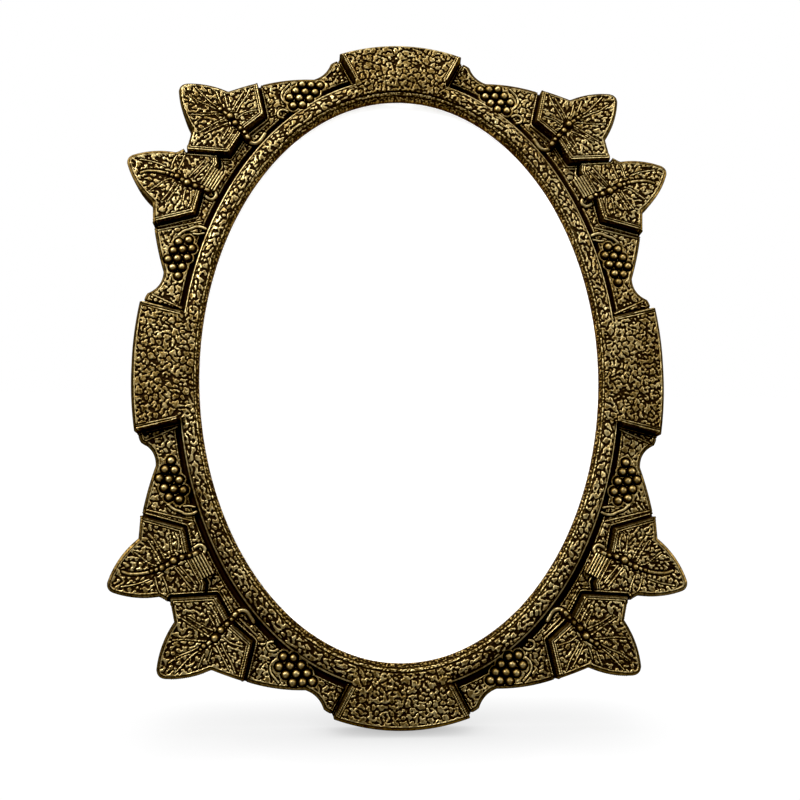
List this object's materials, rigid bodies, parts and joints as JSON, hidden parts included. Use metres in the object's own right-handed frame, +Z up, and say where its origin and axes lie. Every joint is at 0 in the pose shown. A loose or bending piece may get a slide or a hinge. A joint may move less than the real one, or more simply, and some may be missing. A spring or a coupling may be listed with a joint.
{
  "type": "picture frame",
  "caption": "Cast table-top picture frame with vine leaves and grapes round an oval glazed opening, with a hinged easel leg, turn buttons and a wall ring.",
  "frame": {"origin": "on the table top, in the middle of the width and of the depth that the frame and its open leg take", "axes": "+Z is up, -Y is where the picture faces, and +X is to the right as one looks at the picture"},
  "size_m": [0.169, 0.0674, 0.2069],
  "materials": {
    "antique_brass": "cast aluminium with an antique brass finish, dark in the hollows",
    "glass": "clear",
    "card": "matt white",
    "board": "dark paper cover",
    "steel": "zinc plated",
    "rivet": "plated",
    "screw": "plated",
    "ring_wire": "nickel plated"
  },
  "bodies": {
    "frame": {"front_casting": "antique_brass", "glass": "glass", "picture_card": "card", "backing_board": "board", "board_hinge_leaf": "steel", "board_rivets": "rivet", "hinge_pin": "steel", "button_screws": "screw", "ring_strap": "steel", "strap_rivet": "rivet"},
    "strut": {"strut_board": "board", "strut_hinge_leaf": "steel", "strut_rivets": "rivet"},
    "wall_ring": {"hanging_ring": "ring_wire"},
    "button_1": {"turn_button_1": "steel"},
    "button_2": {"turn_button_2": "steel"},
    "button_3": {"turn_button_3": "steel"},
    "button_4": {"turn_button_4": "steel"},
    "button_5": {"turn_button_5": "steel"},
    "button_6": {"turn_button_6": "steel"}
  },
  "joints": [
    {"name": "strut_hinge", "type": "hinge", "parent": "frame", "child": "strut", "pos_m": [0, 0.00773, 0.14107], "axis": [1, 0, 0], "range_deg": [-22, 0]},
    {"name": "ring_pivot", "type": "hinge", "parent": "frame", "child": "wall_ring", "pos_m": [0, 0.01529, 0.18036], "axis": [1, 0, 0], "range_deg": [-9, 168]},
    {"name": "button_1_turn", "type": "hinge", "parent": "frame", "child": "button_1", "pos_m": [0.0684, -0.00195, 0.10224], "axis": [0, 0.9781, -0.2079], "continuous": true},
    {"name": "button_2_turn", "type": "hinge", "parent": "frame", "child": "button_2", "pos_m": [0.04449, 0.0129, 0.17209], "axis": [0, 0.9781, -0.2079], "continuous": true},
    {"name": "button_3_turn", "type": "hinge", "parent": "frame", "child": "button_3", "pos_m": [-0.04449, 0.0129, 0.17209], "axis": [0, 0.9781, -0.2079], "continuous": true},
    {"name": "button_4_turn", "type": "hinge", "parent": "frame", "child": "button_4", "pos_m": [-0.0684, -0.00195, 0.10224], "axis": [0, 0.9781, -0.2079], "continuous": true},
    {"name": "button_5_turn", "type": "hinge", "parent": "frame", "child": "button_5", "pos_m": [-0.04449, -0.0168, 0.03238], "axis": [0, 0.9781, -0.2079], "continuous": true},
    {"name": "button_6_turn", "type": "hinge", "parent": "frame", "child": "button_6", "pos_m": [0.04449, -0.0168, 0.03238], "axis": [0, 0.9781, -0.2079], "continuous": true}
  ]
}
